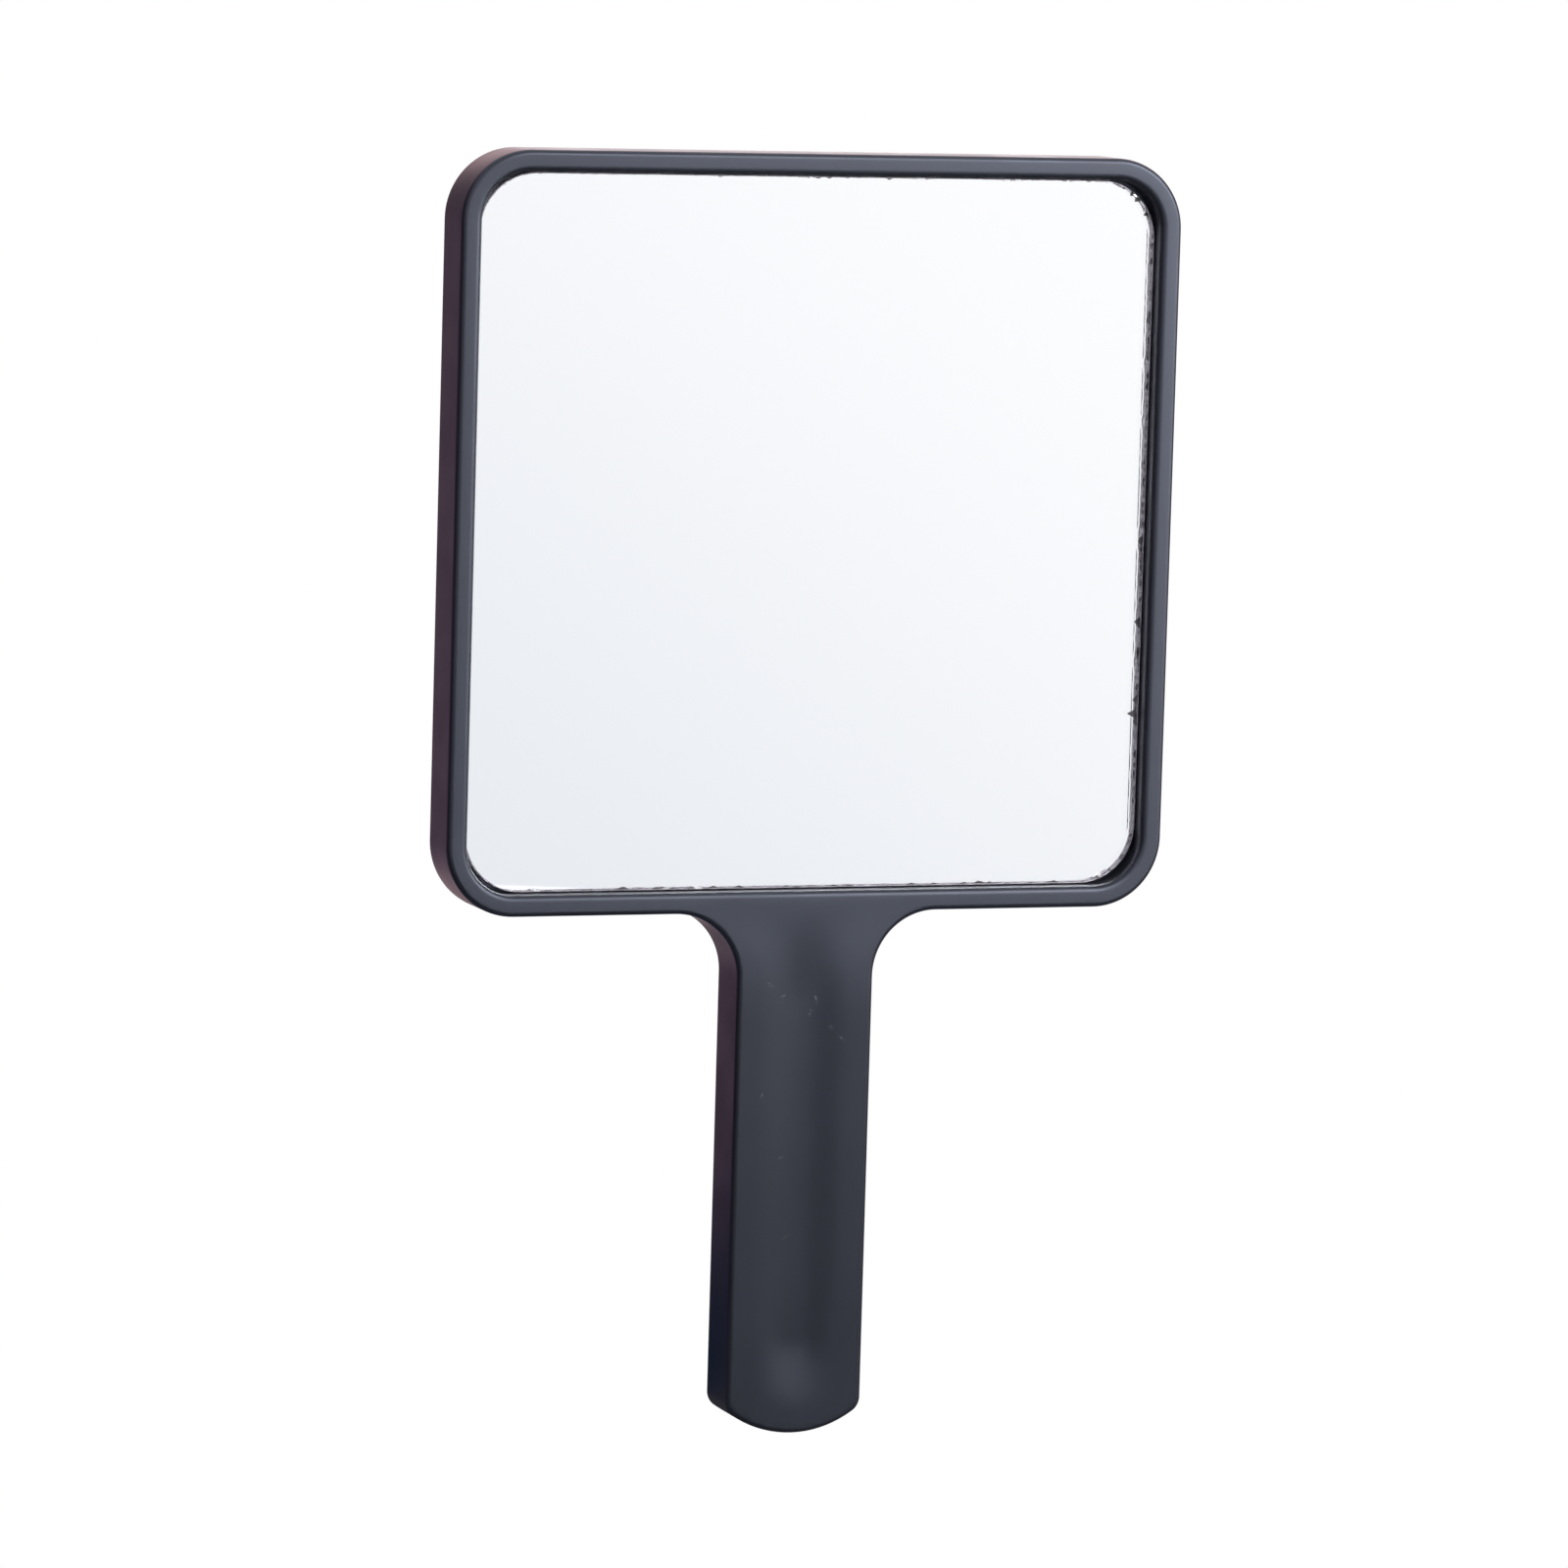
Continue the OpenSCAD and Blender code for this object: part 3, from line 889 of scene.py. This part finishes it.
def studio_world():
    """White for the camera. The mirror itself sees a soft studio.

    The camera's side of it is dark, but for a lamp above on the left and a light lower down.
    """
    world = bpy.data.worlds.new("studio")
    bpy.context.scene.world = world
    world.use_nodes = True
    tree = world.node_tree
    tree.nodes.clear()
    direction = tree.nodes.new("ShaderNodeTexCoord").outputs["Generated"]
    x, y, z = node(tree, "ShaderNodeSeparateXYZ", {0: direction}).outputs
    behind = fade(tree, y, 0.1, 0.6)
    lower = fade(tree, z, -0.03, -0.12)
    back_left = tint(tree, lower, (0.115, 0.068, 0.125), (0.22, 0.13, 0.24))
    colour = tint(tree, behind, (0.045, 0.045, 0.055), back_left)
    straight = calc(tree, "MULTIPLY", fade(tree, x, -0.32, 0.12), fade(tree, x, 0.9, 0.6))
    colour = tint(tree, calc(tree, "MULTIPLY", behind, straight), colour, (1.75, 1.21, 1.22))
    right = calc(tree, "MULTIPLY", fade(tree, y, 0.80, 0.93), fade(tree, x, 0.22, 0.36))
    colour = tint(tree, right, colour, (3.6, 3.5, 3.5))
    lamp = calc(tree, "ADD", calc(tree, "MULTIPLY", x, -0.5), calc(tree, "MULTIPLY", y, -0.75))
    lamp = calc(tree, "ADD", lamp, calc(tree, "MULTIPLY", z, 0.43))
    colour = tint(tree, fade(tree, lamp, 0.88, 0.98), colour, (1.0, 0.92, 1.08))
    side = calc(tree, "ADD", calc(tree, "MULTIPLY", x, -0.5), calc(tree, "MULTIPLY", y, -0.866))
    colour = tint(tree, fade(tree, side, 0.965, 0.99), colour, (0.9, 0.85, 0.95))
    top = calc(tree, "MULTIPLY", fade(tree, z, 0.55, 0.85), fade(tree, y, -0.5, 0.1))
    colour = tint(tree, top, colour, (0.9, 0.9, 0.95))
    studio = node(tree, "ShaderNodeBackground", {"Color": colour, "Strength": 1.0})
    white = node(tree, "ShaderNodeBackground", {"Color": (1, 1, 1, 1), "Strength": 1.0})
    seen = tree.nodes.new("ShaderNodeLightPath").outputs["Is Camera Ray"]
    mixed = node(tree, "ShaderNodeMixShader", {0: seen, 1: studio.outputs[0], 2: white.outputs[0]})
    out = tree.nodes.new("ShaderNodeOutputWorld")
    tree.links.new(mixed.outputs[0], out.inputs["Surface"])


def staged_plane(name, half_width, half_height, matrix):
    """A flat card in its own x and y, placed by a matrix."""
    corners = [(-half_width, -half_height, 0), (half_width, -half_height, 0)]
    corners += [(half_width, half_height, 0), (-half_width, half_height, 0)]
    mesh = bpy.data.meshes.new(name)
    mesh.from_pydata(corners, [], [(0, 1, 2, 3)])
    obj = bpy.data.objects.new(name, mesh)
    obj.matrix_world = matrix
    bpy.context.scene.collection.objects.link(obj)
    return obj


def reflector_card():
    """The pale card that the mirror shows, with a slow slanting gradient.

    u runs to the picture's right and v up, from the middle of what the mirror shows. Outside the
    part that it shows, the upper right and a band just below are brighter, to light the plastic.
    Under that band the card is nearly dark.
    """
    start, sight = mirror_sight()
    centre = start + sight * CARD_DISTANCE
    facing = Vector((-sight.x, -sight.y, 0)).normalized()
    up = Vector((0, 0, 1))
    right = up.cross(facing)
    turn = Matrix((right, up, facing)).transposed().to_4x4()
    middle = centre - right * CARD_SHIFT
    middle.z = CARD_HALF_HEIGHT + 2 * MM
    obj = staged_plane("card", CARD_HALF_WIDTH, CARD_HALF_HEIGHT, Matrix.Translation(middle) @ turn)
    obj.visible_camera = False
    material, tree, out, place = new_material("lit_card")
    u, v, _ = node(tree, "ShaderNodeSeparateXYZ", {0: place}).outputs
    u = calc(tree, "MULTIPLY", calc(tree, "SUBTRACT", u, CARD_SHIFT), -1)
    v = calc(tree, "ADD", v, CARD_HALF_HEIGHT - centre.z)
    slant = calc(tree, "ADD", calc(tree, "MULTIPLY", u, 0.62), calc(tree, "MULTIPLY", v, 0.78))
    level = fade(tree, slant, -0.20, 0.16, 0.85, 1.03)
    outside = fade(tree, slant, 0.15, 0.40, 0.0, 9.4)
    outside = calc(tree, "MULTIPLY", outside, fade(tree, u, 0.30, 0.46, 1.0, 0.3))
    level = calc(tree, "ADD", level, outside)
    high = fade(tree, v, 0.20, 0.45, 1.0, 0.6)
    low = fade(tree, v, -0.155, -0.125, 0.02, 1.0)
    level = calc(tree, "MULTIPLY", calc(tree, "MULTIPLY", level, high), low)
    band = calc(tree, "MULTIPLY", fade(tree, v, -0.103, -0.110), fade(tree, v, -0.140, -0.125))
    on_right = fade(tree, u, 0.16, 0.34, 3.6, 7.0)
    on_left = fade(tree, u, -0.02, -0.09, 0.0, 7.0)
    strength = calc(tree, "ADD", on_right, on_left)
    band = calc(tree, "MULTIPLY", band, strength)
    level = calc(tree, "ADD", level, band)
    colour = tint(tree, fade(tree, slant, -0.14, 0.12), (0.985, 1.0, 1.045), (1.01, 1.0, 1.015))
    glow = node(tree, "ShaderNodeEmission", {"Color": colour, "Strength": level})
    tree.links.new(glow.outputs[0], out.inputs["Surface"])
    wear_on(obj, material)


def pale_floor():
    """A floor that is plain white to the camera and fades away to nothing round about.

    To the mirror it is dark grey in front, paler beneath and navy behind.
    """
    obj = staged_plane("floor", FLOOR_HALF, FLOOR_HALF, Matrix.Translation((0, 0.05, -0.05 * MM)))
    material, tree, out, place = new_material("pale_floor")
    far = node(tree, "ShaderNodeVectorMath", {0: place}, operation="LENGTH").outputs["Value"]
    y = node(tree, "ShaderNodeSeparateXYZ", {0: place}).outputs["Y"]
    beyond = fade(tree, calc(tree, "ABSOLUTE", calc(tree, "ADD", y, 0.045)), 0.02, 0.045)
    behind = fade(tree, y, -0.09, -0.06)
    colour = tint(tree, behind, (0.045, 0.055, 0.075), (0.01, 0.06, 0.15))
    colour = tint(tree, beyond, (0.22, 0.23, 0.27), colour)
    shaded = node(tree, "ShaderNodeBsdfDiffuse", {"Color": colour})
    bright = node(tree, "ShaderNodeEmission", {"Color": (1, 1, 1, 1), "Strength": 1.0})
    seen = tree.nodes.new("ShaderNodeLightPath").outputs["Is Camera Ray"]
    near = node(tree, "ShaderNodeMixShader", {0: seen, 1: shaded.outputs[0], 2: bright.outputs[0]})
    clear = tree.nodes.new("ShaderNodeBsdfTransparent")
    share = fade(tree, far, 0.17, 0.25)
    mixed = node(tree, "ShaderNodeMixShader", {0: share, 1: near.outputs[0], 2: clear.outputs[0]})
    tree.links.new(mixed.outputs[0], out.inputs["Surface"])
    wear_on(obj, material)


studio_world()
reflector_card()
pale_floor()
bpy.context.scene.view_settings.view_transform = "Standard"
